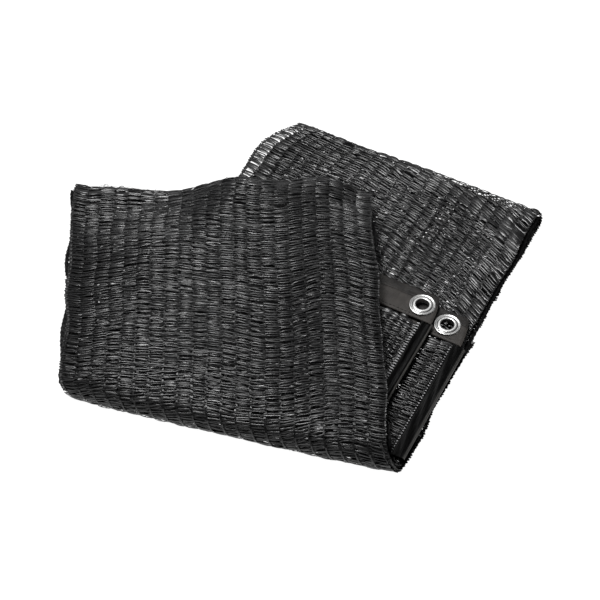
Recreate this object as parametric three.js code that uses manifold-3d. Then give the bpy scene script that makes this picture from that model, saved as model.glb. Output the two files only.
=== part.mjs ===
// A black knitted shade net with taped edges, doubled, folded to a strip about 235 mm wide and then folded
// in half over a slanting crease, so that its two stacks of layers spread in a V. Millimetres, +Z up,
// +X to the right and +Y away from the crease. The origin is under the middle of the part, on the floor.
import * as THREE from "three";
import { mergeVertices } from "three/addons/utils/BufferGeometryUtils.js";
import Module from "manifold-3d";

// The net, and how its layers lie.
const NET_THICKNESS = 1.8;
const CREASE_PITCH = 3.0; // from layer to layer of the back stack, at the crease
const FAR_PITCH = 4.4; // the same at the back stack's far fold, where it bulges
const BULGE_RUN = 250; // distance from the crease over which the one pitch becomes the other
const FRONT_PITCH = 2.9; // from layer to layer of the front stack
const LOWER_FLAP_RISE = 4.0; // from the back stack's top layer to the lower flap
const UPPER_FLAP_RISE = 4.6; // from the lower flap to the upper one
const STACK_GAP = 1.9; // air between the back stack and the front one that lies on it
const SAG_START = 8; // how far inside the back stack's left edge the front stack starts to sag
const SAG_END = 44; // how far past that edge it is down on the floor
const FLAP_STEP_START = 16; // how far past the flaps' ends the front stack starts to come down
const FLAP_STEP_END = 58; // how far past them it is down on the layer below
const INNER_CREASE_DEPTH = 2.5; // how far the innermost turn at the crease stands out
const CREASE_DEPTH_STEP = 3.05; // how much further each next turn stands out
const CREASE_END_TAPER = 0.2; // the share of its depth that each turn loses at the crease's two ends
const TAPER_SQUEEZE = 6; // the power with which that loss fades towards the crease's middle

// The layers of the back stack, counted upwards from 0, end with the two flaps. The front stack's are all
// plain.
const BACK_TOP_LEVEL = 3;
const LOWER_FLAP_LEVEL = 4;
const UPPER_FLAP_LEVEL = 5;
const FRONT_LAYERS = 6;

const EDGE_RIPPLE = 1.2; // how far the layers' side edges wander
const RIPPLE_LENGTH = 0.42; // of such a wave, as a share of a stack's length
const EDGE_SQUEEZE = 4; // the power with which an edge's offset fades towards the other edge

// The corners of each stack in plan, as the lines where its turns begin. A far wave is where that fold
// stands out or is drawn in: its place across the stack as a share, its size and its reach as a share.
const BACK = {
  nearLeft: new THREE.Vector2(-166, -91),
  nearRight: new THREE.Vector2(71.5, -159),
  farLeft: new THREE.Vector2(-13, 187),
  farRight: new THREE.Vector2(190, 78),
  cornerTrim: 16, // how much of the far left corner is tucked in
  trimStart: 0.87,
  farWaves: [
    { share: 0.3, out: -1.5, reach: 0.14 },
    { share: 0.62, out: 1.5, reach: 0.12 },
  ],
};
const FRONT = {
  nearLeft: new THREE.Vector2(-173.5, -90),
  nearRight: new THREE.Vector2(62, -154),
  farLeft: new THREE.Vector2(-183, 106),
  farRight: new THREE.Vector2(55, 92),
  cornerTrim: 0,
  trimStart: 1,
  farWaves: [
    { share: 0.14, out: 2, reach: 0.12 },
    { share: 0.66, out: -3, reach: 0.1 },
    { share: 0.84, out: 5, reach: 0.09 },
    { share: 1.0, out: -5, reach: 0.07 },
  ],
};

// Edge tapes and eyelets.
const TAPE_THICKNESS = 2.0;
const END_TAPE_WIDTH = 27;
const SIDE_TAPE_WIDTH = 10;
const SEAM_GAP = 0.35;
const EYELET_HOLE_RADIUS = 5;
const EYELET_BARREL_RADIUS = 6;
const TAPE_HOLE_RADIUS = 6.4;
const EYELET_RADIUS = 10.2;
const EYELET_BACK_RADIUS = 9.4;
const EYELET_FROM_END = 14;
const EYELET_SIDES = 28;
const WASHER_THICKNESS = 0.6; // of the flat ring on the eyelet's underside
const FLANGE_RIM = 0.3; // height of the flange's outer and inner edges
const FLANGE_CROWN = 0.9; // height of its crown
const FLANGE_BEVEL = 0.7; // from its outer edge in to its crown
const FLANGE_CROWN_END = 2.4; // from its outer edge in to the groove
const GROOVE_WIDTH = 0.9; // between the crown and the rolled lip
const GROOVE_HEIGHT = 0.5; // of the groove's bottom
const LIP_HEIGHT = 1.1; // of the lip rolled round the hole
const LIP_BEVEL = 0.3; // from the lip in to the hole

const CORNER_TRIM = 5.6; // how far an end tape's outer corner is tucked in

// The two free ends of the doubled cloth. reach is the distance of an end's far edge from the crease along
// the back stack's right edge. inset is how far inwards from that edge the end tape begins, length how long
// it is, and eyeletSide how far along it the eyelet sits.
const FLAPS = [
  { name: "upper", level: UPPER_FLAP_LEVEL, reach: 144, inset: 27.5, length: 193, eyeletSide: 13.5 },
  { name: "lower", level: LOWER_FLAP_LEVEL, reach: 138, inset: 0.3, length: 216, eyeletSide: 17.2 },
];

// The stretches of the sheet between its turns, in the order in which the cloth runs. level counts the
// layers of its stack upwards, and left and right are how far its two edges stand out from the stack's.
const STRETCHES = [
  { stack: BACK, level: UPPER_FLAP_LEVEL, left: -14, right: -38, flap: FLAPS[0] },
  { stack: FRONT, level: 0, left: -3, right: -24 },
  { stack: FRONT, level: 3, left: -1, right: -2 },
  { stack: BACK, level: 2, left: -8, right: 2 },
  { stack: BACK, level: 1, left: -9, right: 0 },
  { stack: FRONT, level: 4, left: -2, right: -3 },
  { stack: FRONT, level: 5, left: 0, right: 0 },
  { stack: BACK, level: 0, left: -4, right: 1.5 },
  { stack: BACK, level: 3, left: 2, right: -1 },
  { stack: FRONT, level: 2, left: 2, right: 0 },
  { stack: FRONT, level: 1, left: 0, right: -8 },
  { stack: BACK, level: LOWER_FLAP_LEVEL, left: -12, right: -10.4, flap: FLAPS[1] },
];

// Soft swells and hollows of the top layers: place in plan, height and reach.
const BACK_SWELLS = [
  { x: 45, y: 125, height: 1.6, reach: 34 },
  { x: 100, y: 95, height: -1.5, reach: 26 },
  { x: 150, y: 70, height: 2.0, reach: 30 },
  { x: 118, y: 22, height: 2.2, reach: 20 },
  { x: 140, y: -5, height: -1.2, reach: 18 },
  { x: 5, y: 150, height: 1.4, reach: 24 },
];
const FRONT_SWELLS = [
  { x: -140, y: 20, height: 1.6, reach: 42 },
  { x: -90, y: 60, height: -1.2, reach: 30 },
  { x: -60, y: -50, height: 1.5, reach: 40 },
  { x: 10, y: 20, height: 1.8, reach: 38 },
  { x: 20, y: -90, height: -1.2, reach: 30 },
  { x: 18, y: 96, height: 2.6, reach: 20 },
  { x: 56, y: 92, height: -3.5, reach: 22 },
];

const STEPS_ALONG = 8;
const FLAP_STEPS = 5;
const STEPS_ACROSS = 13;
const CREASE_STEPS = 5;
const FAR_STEPS = 4;
const TAPE_STEP = 13;

const creaseDirection = BACK.nearRight.clone().sub(BACK.nearLeft).normalize();
const awayFromCrease = new THREE.Vector2(-creaseDirection.y, creaseDirection.x);
const towardsFront = awayFromCrease.clone().negate();
const backEdge = BACK.farRight.clone().sub(BACK.nearRight).normalize();
const backRow = BACK.farLeft.clone().sub(BACK.farRight).normalize();
const towardsCrease = new THREE.Vector2(-backRow.y, backRow.x);
const leftEdge = BACK.farLeft.clone().sub(BACK.nearLeft).normalize();

function swell(table, place) {
  return table.reduce((sum, s) => {
    const distance = Math.hypot(place.x - s.x, place.y - s.y) / s.reach;
    return sum + s.height * Math.exp(-distance * distance);
  }, 0);
}

// Where a flap's far edge line begins, over the outer end of its end tape.
function flapCorner(flap) {
  return BACK.nearRight
    .clone()
    .addScaledVector(backEdge, flap.reach)
    .addScaledVector(new THREE.Vector2(-backEdge.y, backEdge.x), flap.inset);
}

// How far a place lies beyond a flap's end, measured away from the crease.
function beyondEnd(flap, place) {
  return -place.clone().sub(flapCorner(flap)).dot(towardsCrease);
}

// The height of the middle of a layer of the back stack.
function backHeight(level, place) {
  const distance = place.clone().sub(BACK.nearLeft).dot(awayFromCrease);
  const share = THREE.MathUtils.clamp(distance / BULGE_RUN, 0, 1);
  const pitch = THREE.MathUtils.lerp(CREASE_PITCH, FAR_PITCH, share);
  const stacked = Math.min(level, BACK_TOP_LEVEL);
  const swollen = (swell(BACK_SWELLS, place) * stacked) / BACK_TOP_LEVEL;
  let height = NET_THICKNESS / 2 + stacked * pitch + swollen;
  if (level >= LOWER_FLAP_LEVEL) height += LOWER_FLAP_RISE;
  if (level >= UPPER_FLAP_LEVEL) height += UPPER_FLAP_RISE;
  return height;
}

// What carries the front stack: the back stack with its flaps, and past its left edge the floor.
function supportHeight(place) {
  const beyond = beyondEnd(FLAPS[0], place);
  const pastFlaps = THREE.MathUtils.smoothstep(beyond, FLAP_STEP_START, FLAP_STEP_END);
  const top = backHeight(UPPER_FLAP_LEVEL, place) - pastFlaps * (LOWER_FLAP_RISE + UPPER_FLAP_RISE);
  const fromLeft = place.clone().sub(BACK.nearLeft).cross(leftEdge);
  const onStack = THREE.MathUtils.smoothstep(fromLeft, -SAG_END, SAG_START);
  return (top + NET_THICKNESS / 2 + STACK_GAP) * onStack;
}

function frontHeight(level, place) {
  const swellShare = (level + 1) / FRONT_LAYERS;
  const rise = level * FRONT_PITCH + swell(FRONT_SWELLS, place) * swellShare;
  return supportHeight(place) + NET_THICKNESS / 2 + rise;
}

function layerHeight(stretch, place) {
  return stretch.stack === BACK
    ? backHeight(stretch.level, place)
    : frontHeight(stretch.level, place);
}

// A place on a stretch in plan: u runs from its left edge to its right one, v from the crease away.
function planPlace(stretch, u, v) {
  const { nearLeft, nearRight, farLeft, farRight, cornerTrim, trimStart } = stretch.stack;
  const width = nearLeft.distanceTo(nearRight);
  const trimShare = Math.max(0, (v - trimStart) / (1 - trimStart || 1));
  const wander = stretch.flap ? 0 : 1;
  const ripple = wander * EDGE_RIPPLE * Math.sin((2 * Math.PI * v) / RIPPLE_LENGTH + stretch.level);
  const left = stretch.left - ripple - cornerTrim * trimShare * trimShare;
  const right = stretch.right + ripple;
  const leftShift = -(left / width) * (1 - u) ** EDGE_SQUEEZE;
  const share = u + leftShift + (right / width) * u ** EDGE_SQUEEZE;
  const near = nearLeft.clone().lerp(nearRight, share);
  const far = farLeft.clone().lerp(farRight, share);
  const wave = wander * farWave(stretch.stack, share) * v * v;
  return near.lerp(far, v).addScaledVector(farDirection(stretch.stack), wave);
}

function farWave(stack, share) {
  return stack.farWaves.reduce((sum, wave) => {
    const distance = (share - wave.share) / wave.reach;
    return sum + wave.out * Math.exp(-distance * distance);
  }, 0);
}

// How far along its stretch a flap's net reaches: to the inner edge of its end tape.
function flapEnd(stretch, u) {
  const start = beyondEnd(stretch.flap, planPlace(stretch, u, 0));
  const middle = beyondEnd(stretch.flap, planPlace(stretch, u, 0.5));
  const tapeEdge = -END_TAPE_WIDTH - SEAM_GAP;
  return (0.5 * (tapeEdge - start)) / (middle - start);
}

function layerPoint(stretch, u, v) {
  const place = planPlace(stretch, u, v);
  return new THREE.Vector3(place.x, place.y, layerHeight(stretch, place));
}

const acrossShares = Array.from({ length: STEPS_ACROSS + 1 }, (_, j) => j / STEPS_ACROSS);

// The rows of points of one stretch, from the crease to its far end.
function stretchRows(stretch) {
  const steps = stretch.flap ? FLAP_STEPS : STEPS_ALONG;
  return Array.from({ length: steps + 1 }, (_, i) =>
    acrossShares.map((u) => {
      const end = stretch.flap ? flapEnd(stretch, u) : 1;
      return layerPoint(stretch, u, (end * i) / steps);
    }),
  );
}

// The rows of a half turn from one row to the next stretch's. depthAt says how far it stands out at each
// share of the way across.
function turnRows(fromRow, toRow, outwards, depthAt, steps) {
  return Array.from({ length: steps - 1 }, (_, i) => {
    const angle = (Math.PI * (i + 1)) / steps;
    const share = (1 - Math.cos(angle)) / 2;
    return fromRow.map((start, j) => {
      const point = start.clone().lerp(toRow[j], share);
      const out = depthAt(acrossShares[j]) * Math.sin(angle);
      point.x += outwards.x * out;
      point.y += outwards.y * out;
      return point;
    });
  });
}

// How far the turn at the crease from a level of the back stack stands out, at a share of the way across.
function creaseDepth(backLevel, u) {
  const taper = CREASE_END_TAPER * Math.abs(2 * u - 1) ** TAPER_SQUEEZE;
  return (INNER_CREASE_DEPTH + CREASE_DEPTH_STEP * (UPPER_FLAP_LEVEL - backLevel)) * (1 - taper);
}

// All rows of the sheet's middle surface, from the upper flap's end to the lower flap's.
function sheetRows() {
  const rows = stretchRows(STRETCHES[0]).reverse();
  for (let n = 1; n < STRETCHES.length; n += 1) {
    const before = STRETCHES[n - 1];
    const stretch = STRETCHES[n];
    const next = stretchRows(stretch);
    const atCrease = before.stack !== stretch.stack;
    if (!atCrease) next.reverse();
    const fromRow = rows[rows.length - 1];
    if (atCrease) {
      const backLevel = before.stack === BACK ? before.level : stretch.level;
      const depthAt = (u) => creaseDepth(backLevel, u);
      rows.push(...turnRows(fromRow, next[0], towardsFront, depthAt, CREASE_STEPS));
    } else {
      const levels = Math.abs(before.level - stretch.level);
      const depth = 0.5 * levels * (stretch.stack === BACK ? FAR_PITCH : FRONT_PITCH);
      rows.push(...turnRows(fromRow, next[0], farDirection(stretch.stack), () => depth, FAR_STEPS));
    }
    rows.push(...next);
  }
  return rows;
}

function farDirection(stack) {
  const along = stack.farRight.clone().sub(stack.farLeft).normalize();
  return new THREE.Vector2(-along.y, along.x);
}

// The unit normal of a grid of points at one of them.
function gridNormal(rows, i, j) {
  const before = rows[Math.max(i - 1, 0)][j];
  const after = rows[Math.min(i + 1, rows.length - 1)][j];
  const left = rows[i][Math.max(j - 1, 0)];
  const right = rows[i][Math.min(j + 1, rows[i].length - 1)];
  return after.clone().sub(before).cross(right.clone().sub(left)).normalize();
}

// A closed sheet of even thickness round a grid of points.
function sheetGeometry(rows, thickness) {
  const across = rows[0].length;
  const count = rows.length * across;
  const positions = [];
  for (const side of [0.5, -0.5]) {
    rows.forEach((row, i) =>
      row.forEach((point, j) => {
        const shifted = point.clone().addScaledVector(gridNormal(rows, i, j), side * thickness);
        positions.push(shifted.x, shifted.y, shifted.z);
      }),
    );
  }
  const index = [];
  const quad = (a, b, c, d) => index.push(a, b, c, a, c, d);
  const at = (i, j) => i * across + j;
  for (let i = 0; i < rows.length - 1; i += 1) {
    for (let j = 0; j < across - 1; j += 1) {
      // The faces' diagonals run the same way in plan in every layer, so that the layers nest.
      const a = at(i, j);
      const b = at(i + 1, j);
      const c = at(i + 1, j + 1);
      const d = at(i, j + 1);
      if (rows[i + 1][j].y > rows[i][j].y) {
        quad(a, b, c, d);
        quad(count + a, count + d, count + c, count + b);
      } else {
        quad(b, c, d, a);
        quad(count + d, count + c, count + b, count + a);
      }
    }
    const last = across - 1;
    quad(at(i, 0), count + at(i, 0), count + at(i + 1, 0), at(i + 1, 0));
    quad(at(i + 1, last), count + at(i + 1, last), count + at(i, last), at(i, last));
  }
  for (let j = 0; j < across - 1; j += 1) {
    const end = rows.length - 1;
    quad(at(0, j), at(0, j + 1), count + at(0, j + 1), count + at(0, j));
    quad(at(end, j + 1), at(end, j), count + at(end, j), count + at(end, j + 1));
  }
  const geometry = new THREE.BufferGeometry();
  geometry.setAttribute("position", new THREE.Float32BufferAttribute(positions, 3));
  geometry.setIndex(index);
  geometry.computeVertexNormals();
  return geometry;
}

// A point of a flap's tape: along from its outer corner towards the left, inwards from its end.
function tapePoint(flap, along, inwards) {
  const place = flapCorner(flap)
    .addScaledVector(backRow, along)
    .addScaledVector(towardsCrease, inwards);
  return new THREE.Vector3(place.x, place.y, backHeight(flap.level, place));
}

// The rows of points of an end tape. Its outer end curves inwards to the tucked corner.
function endTapeRows(flap) {
  const steps = Math.round(flap.length / TAPE_STEP);
  return Array.from({ length: steps + 1 }, (_, i) =>
    [0, 0.5, 1].map((share) => {
      const start = CORNER_TRIM * (1 - share) ** 2;
      const along = THREE.MathUtils.lerp(start, flap.length, i / steps);
      return tapePoint(flap, along, share * END_TAPE_WIDTH);
    }),
  );
}

// Where an eyelet sits: its centre on the tape's middle surface, and its axis square to the tape there.
function eyeletPlacement(flap) {
  const at = (side, end) => tapePoint(flap, flap.eyeletSide + side, EYELET_FROM_END + end);
  const along = at(EYELET_RADIUS, 0).sub(at(-EYELET_RADIUS, 0)).normalize();
  const inwards = at(0, EYELET_RADIUS).sub(at(0, -EYELET_RADIUS)).normalize();
  const axis = along.clone().cross(inwards).normalize();
  return new THREE.Matrix4()
    .makeBasis(along, axis.clone().cross(along), axis)
    .setPosition(at(0, 0));
}

const wasm = await Module();
wasm.setup();

function toManifold(geometry) {
  const bare = geometry.clone();
  bare.deleteAttribute("normal");
  bare.deleteAttribute("uv");
  const merged = mergeVertices(bare, 1e-4);
  return new wasm.Manifold(
    new wasm.Mesh({
      numProp: 3,
      vertProperties: new Float32Array(merged.attributes.position.array),
      triVerts: new Uint32Array(merged.index.array),
    }),
  );
}

function fromManifold(solid) {
  const mesh = solid.getMesh();
  const geometry = new THREE.BufferGeometry();
  geometry.setAttribute("position", new THREE.BufferAttribute(mesh.vertProperties, 3));
  geometry.setIndex(new THREE.BufferAttribute(mesh.triVerts, 1));
  geometry.computeVertexNormals();
  return geometry;
}

// The tape sewn over a flap's end, with the round hole for its eyelet.
function endTapeGeometry(flap) {
  const strip = sheetGeometry(endTapeRows(flap).reverse(), TAPE_THICKNESS);
  const hole = new THREE.CylinderGeometry(
    TAPE_HOLE_RADIUS,
    TAPE_HOLE_RADIUS,
    4 * TAPE_THICKNESS,
    EYELET_SIDES,
  );
  hole.rotateX(Math.PI / 2);
  hole.applyMatrix4(eyeletPlacement(flap));
  return fromManifold(toManifold(strip).subtract(toManifold(hole)));
}

// The tape along a flap's side, from its end tape to the crease, beside the net's own edge.
function sideTapeGeometry(flap) {
  const stretch = STRETCHES.find((s) => s.flap === flap);
  const edges = [SEAM_GAP, SEAM_GAP + SIDE_TAPE_WIDTH].map((out) => ({
    ...stretch,
    right: stretch.right + out,
  }));
  const rows = Array.from({ length: STEPS_ALONG + 1 }, (_, i) =>
    edges.map((edge) => layerPoint(edge, 1, (flapEnd(edge, 1) * i) / STEPS_ALONG)),
  );
  return sheetGeometry(rows, TAPE_THICKNESS);
}

// A pressed eyelet: a barrel through the tape, a crowned flange on top and a flat washer below.
function eyeletGeometry() {
  const face = TAPE_THICKNESS / 2 + SEAM_GAP;
  const profile = [
    [EYELET_HOLE_RADIUS, -face - WASHER_THICKNESS],
    [EYELET_BACK_RADIUS, -face - WASHER_THICKNESS],
    [EYELET_BACK_RADIUS, -face],
    [EYELET_BARREL_RADIUS, -face],
    [EYELET_BARREL_RADIUS, face],
    [EYELET_RADIUS, face],
    [EYELET_RADIUS, face + FLANGE_RIM],
    [EYELET_RADIUS - FLANGE_BEVEL, face + FLANGE_CROWN],
    [EYELET_RADIUS - FLANGE_CROWN_END, face + FLANGE_CROWN],
    [EYELET_BARREL_RADIUS + GROOVE_WIDTH, face + GROOVE_HEIGHT],
    [EYELET_BARREL_RADIUS, face + LIP_HEIGHT],
    [EYELET_HOLE_RADIUS + LIP_BEVEL, face + FLANGE_CROWN],
    [EYELET_HOLE_RADIUS, face + FLANGE_RIM],
    [EYELET_HOLE_RADIUS, -face - WASHER_THICKNESS],
  ].map(([radius, height]) => new THREE.Vector2(radius, height));
  return new THREE.LatheGeometry(profile, EYELET_SIDES).rotateX(Math.PI / 2);
}

const netMaterial = new THREE.MeshStandardMaterial({ color: 0x1b1b1d, roughness: 0.55, metalness: 0 });
const tapeMaterial = new THREE.MeshStandardMaterial({ color: 0x26231f, roughness: 0.5, metalness: 0 });
const eyeletMaterial = new THREE.MeshStandardMaterial({ color: 0xd9dadc, roughness: 0.25, metalness: 1 });

function namedMesh(name, geometry, material) {
  const mesh = new THREE.Mesh(geometry, material);
  mesh.name = name;
  return mesh;
}

function eyeletMesh(flap) {
  const mesh = namedMesh(`${flap.name}_eyelet`, eyeletGeometry(), eyeletMaterial);
  eyeletPlacement(flap).decompose(mesh.position, mesh.quaternion, mesh.scale);
  return mesh;
}

const shadeCloth = new THREE.Group();
shadeCloth.add(namedMesh("net", sheetGeometry(sheetRows(), NET_THICKNESS), netMaterial));
for (const flap of FLAPS) {
  shadeCloth.add(namedMesh(`${flap.name}_end_tape`, endTapeGeometry(flap), tapeMaterial));
  shadeCloth.add(namedMesh(`${flap.name}_side_tape`, sideTapeGeometry(flap), tapeMaterial));
  shadeCloth.add(eyeletMesh(flap));
}

// The whole part is moved so that its box stands centred on the origin.
const box = new THREE.Box3().setFromObject(shadeCloth);
const middle = box.getCenter(new THREE.Vector3());
shadeCloth.position.set(-middle.x, -middle.y, -box.min.z);

export default shadeCloth;
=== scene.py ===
# The looks of the folded shade net: knitted net, taped ends, eyelets, floor, light and camera.
# Shapes are worked out in millimetres from the same named sizes as the solids, and placed in metres.
import math
from collections import namedtuple

import bpy
import numpy as np
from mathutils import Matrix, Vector


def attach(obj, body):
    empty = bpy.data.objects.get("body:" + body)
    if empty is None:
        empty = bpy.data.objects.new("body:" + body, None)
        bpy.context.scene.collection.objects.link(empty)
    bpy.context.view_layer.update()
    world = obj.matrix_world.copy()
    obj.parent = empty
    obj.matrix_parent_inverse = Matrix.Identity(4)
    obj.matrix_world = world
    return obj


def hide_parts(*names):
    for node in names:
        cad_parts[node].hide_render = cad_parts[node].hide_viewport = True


# The net, and how its layers lie.
NET_THICKNESS = 1.8
ROLL_DROP = 3.6
ROLL_RUN = 42.0
ROLL_TILT = 0.16
CREASE_PITCH = 3.0
FAR_PITCH = 4.4
BULGE_RUN = 250.0
FRONT_PITCH = 2.9
LOWER_FLAP_RISE = 4.0
UPPER_FLAP_RISE = 4.6
STACK_GAP = 1.9
SAG_START = 24.0
SAG_END = 44.0
WIDE_SAG_END = 105.0
SAG_NARROWS = (110.0, 205.0)
FLAP_STEP_START = 16.0
FLAP_STEP_END = 58.0
INNER_CREASE_DEPTH = 2.5
CREASE_DEPTH_STEP = 3.05
CREASE_END_TAPER = 0.2
TAPER_SQUEEZE = 6
BACK_TOP_LEVEL = 3
LOWER_FLAP_LEVEL = 4
UPPER_FLAP_LEVEL = 5
FRONT_LAYERS = 6
EDGE_RIPPLE = 1.2
RIPPLE_LENGTH = 0.42
EDGE_SQUEEZE = 4

Stack = namedtuple("Stack", "near_left near_right far_left far_right corner_trim trim_start far_waves")
Wave = namedtuple("Wave", "share out reach")
Flap = namedtuple("Flap", "name level reach inset length eyelet_side")
Stretch = namedtuple("Stretch", "stack level left right flap")
Swell = namedtuple("Swell", "x y height reach")

BACK = Stack(
    near_left=(-166.0, -91.0),
    near_right=(71.5, -159.0),
    far_left=(-13.0, 187.0),
    far_right=(190.0, 78.0),
    corner_trim=16.0,
    trim_start=0.87,
    far_waves=(Wave(0.3, -1.5, 0.14), Wave(0.62, 1.5, 0.12)),
)
FRONT = Stack(
    near_left=(-173.5, -90.0),
    near_right=(62.0, -154.0),
    far_left=(-183.0, 106.0),
    far_right=(55.0, 92.0),
    corner_trim=0.0,
    trim_start=1.0,
    far_waves=(
        Wave(0.0, 4, 0.035),
        Wave(0.14, 2, 0.12),
        Wave(0.66, -3, 0.1),
        Wave(0.84, 5, 0.09),
        Wave(1.0, -5, 0.07),
    ),
)

# Edge tapes and eyelets.
TAPE_THICKNESS = 2.0
END_TAPE_WIDTH = 27.0
SIDE_TAPE_WIDTH = 10.0
SEAM_GAP = 0.35
EYELET_RADIUS = 10.2
EYELET_FROM_END = 14.0
CORNER_TRIM = 5.6

UPPER_FLAP = Flap("upper", UPPER_FLAP_LEVEL, 144.0, 27.5, 193.0, 13.5)
LOWER_FLAP = Flap("lower", LOWER_FLAP_LEVEL, 138.0, 0.3, 216.0, 17.2)

# The stretches of the sheet between its turns, in the order in which the cloth runs.
STRETCHES = (
    Stretch(BACK, UPPER_FLAP_LEVEL, -14, -38, UPPER_FLAP),
    Stretch(FRONT, 0, -3, -24, None),
    Stretch(FRONT, 3, -1, -2, None),
    Stretch(BACK, 2, -8, 2, None),
    Stretch(BACK, 1, -9, 0, None),
    Stretch(FRONT, 4, -2, -3, None),
    Stretch(FRONT, 5, 0, 0, None),
    Stretch(BACK, 0, -4, 1.5, None),
    Stretch(BACK, 3, 2, -1, None),
    Stretch(FRONT, 2, 2, 0, None),
    Stretch(FRONT, 1, 0, -8, None),
    Stretch(BACK, LOWER_FLAP_LEVEL, -12, -7.4, LOWER_FLAP),
)

BACK_SWELLS = (
    Swell(45, 125, 1.6, 34),
    Swell(100, 95, -1.5, 26),
    Swell(150, 70, 2.0, 30),
    Swell(118, 22, 2.2, 20),
    Swell(140, -5, -1.2, 18),
    Swell(5, 150, 1.4, 24),
)
FRONT_SWELLS = (
    Swell(-140, 20, 1.6, 42),
    Swell(-90, 60, -1.2, 30),
    Swell(-60, -50, 1.5, 40),
    Swell(10, 20, 1.8, 38),
    Swell(20, -90, -1.2, 30),
    Swell(18, 96, 2.6, 20),
    Swell(56, 92, -3.5, 22),
)

# How far the finished part was moved so that its box stands centred on the origin.
PART_SHIFT = np.array([-3.932, -7.367, 0.0])
MM = 0.001

# How finely the sheet's middle surface is worked out.
STEPS_ALONG = 60
STEPS_ACROSS = 66
CREASE_STEPS = 16
FAR_STEPS = 8
LATTICE_STEP = 1.0

# The knit. A column lies between two chains, and a course has two thin strands of tape.
COLUMNS = 22
COLUMN_WIDTH = 10.7
COURSE = 4.7
STRAND_WIDTH = 1.5
STRAND_END_WIDTH = 1.0
STRAND_SPREAD = 0.215
STRAND_END_SPREAD = 0.15
STRAND_BULGE = 0.45
STRAND_ARCH = 0.4
STRAND_DROP = 0.4
STRAND_OVERLAP = 0.05
HIDDEN_WIDENING = 1.35
EDGE_WIDENING = 1.6
EDGE_COLUMNS = 2
FOLD_GAIN = 1.0
FOLD_RUN = 9.0
PUCKER = 0.22
BEND_START = 0.2
BACK_ROW_BEND = 45.0

# How much strands differ: spreads in millimetres, a twist as rise over run, ranges as shares.
STRAND_TWIST = 0.12
KINKED_SHARE = 0.15
KINKED_TWIST = 0.5
STRAND_WAVE = 0.16
WAVES_A_STRAND = 1.4
STRAND_CRINKLE = 0.09
CRINKLES_A_STRAND = 2.3
STRAND_SHIFT = 0.2
STRAND_SLANT = 0.3
STRAND_BOW = 0.2
STRAND_RISE = 0.25
WIDTH_RANGE = (0.78, 1.15)
ARCH_RANGE = (0.5, 1.3)

# Chains between the columns, loops along the side edges, and loose loops on a fold, in millimetres. A
# loose loop's half span is in columns, and a tone goes from 0, black, to 1.
CHAIN_SPREAD = 0.45
CHAIN_UNEVENNESS = 0.3
CHAIN_WIDTH = 0.7
CHAIN_HEIGHT = -1.2
CHAIN_CROSSING = 0.2
CHAIN_TONES = (0, 0.4)
EDGE_CHAIN_WIDTH = 2.2
EDGE_CHAIN_HEIGHT = -1.0
EDGE_CHAIN_DROP = 1.4
EDGE_CHAIN_INSET = 0.5
LOOP_WIDTH = 1.05
LOOP_REACH = (0.6, 1.5)
LOOP_SHIFT = 0.25
LOOP_LIFT = 0.3
LOOP_TONES = (0, 0.3)
LOOPS_A_COURSE = 2
FRAY_WIDTH = 0.4
FRAY_HALF_SPAN = (0.08, 0.3)
FRAY_HEIGHT = (0.8, 2.4)
FRAY_LEAN = 0.8
FRAY_SHIFT = 1.0
FRAY_TONES = (0, 0.5)
FRONT_FRAYS = 60

# Segments along a strand and across it: where it shows, at a hidden edge and elsewhere.
SHOWN_STEPS = (5, 4)
HIDDEN_EDGE_STEPS = (4, 2)
HIDDEN_STEPS = (2, 2)

Crease = namedtuple("Crease", "x y angle length width height")

# Soft creases where the photograph shows them, in plan.
BACK_CREASES = (
    Crease(108, 52, 62, 14, 3.0, 0.7),
    Crease(118, 50, 55, 12, 2.5, -0.6),
    Crease(128, 44, 60, 16, 3.0, 0.8),
    Crease(140, 38, 50, 14, 3.5, 0.7),
    Crease(90, 128, -28, 40, 7.0, 0.7),
    Crease(150, 92, -30, 26, 5.0, 0.7),
    Crease(168, 60, -75, 30, 5.0, 0.8),
    Crease(60, 100, 20, 30, 7.0, -0.5),
)
FRONT_CREASES = (
    Crease(-120, -5, 84, 60, 6.0, 0.5),
    Crease(-44, 25, 88, 50, 7.0, 0.55),
    Crease(20, 10, 80, 55, 6.0, 0.5),
    Crease(-84, -40, 8, 40, 6.0, 0.6),
    Crease(-10, -75, -12, 50, 6.0, 0.6),
    Crease(40, -60, 70, 40, 6.0, 0.6),
)
HIDDEN_DEPTH = 8.0
SEEN_HEIGHT = 4.0
STRIP_WIDTH = 235.0

# The tapes' sections, as pairs of place across and height, and their creases and stitches.
END_TAPE_SECTION = (
    (-0.1, -0.1), (0.4, 0.35), (2.0, 0.6), (7.0, 0.85), (8.2, 0.7), (9.5, 1.05), (16.0, 1.1), (24.0, 0.95),
    (26.2, 0.8), (27.0, 0.1), (26.2, -0.8), (20.0, -1.0), (8.0, -1.0), (0.8, -0.8),
)
END_TAPE_SEAM = 24.6
END_TAPE_CREASES = (
    Crease(33, 17, 84, 12, 1.5, -0.5),
    Crease(39, 15, 75, 14, 2.2, 0.45),
    Crease(50, 12, 60, 12, 2.0, -0.4),
    Crease(30, 6, 8, 16, 1.5, -0.3),
)
UPPER_SIDE_SECTION = (
    (0.0, 0.0), (0.3, 0.8), (1.2, 0.95), (2.2, 0.6), (4.2, -0.5), (6.6, -0.75), (7.8, 0.1), (8.8, 0.7),
    (9.7, 0.4), (10.0, -0.3), (9.2, -1.05), (5.0, -1.2), (0.8, -0.95),
)
LOWER_SIDE_SECTION = (
    (0.0, 0.0), (0.3, 0.7), (1.2, 0.9), (3.0, 0.75), (5.5, 0.55), (7.8, 0.45), (8.6, 0.85), (9.3, 1.05),
    (9.9, 0.6), (10.0, -0.2), (9.2, -0.95), (5.0, -1.0), (0.8, -0.95),
)
SIDE_TAPE_STEPS = 120
LOWER_SIDE_DROOP = 2.5
TAPE_STEP = 1.2
TAPE_ROUNDING = 2.5
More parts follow.
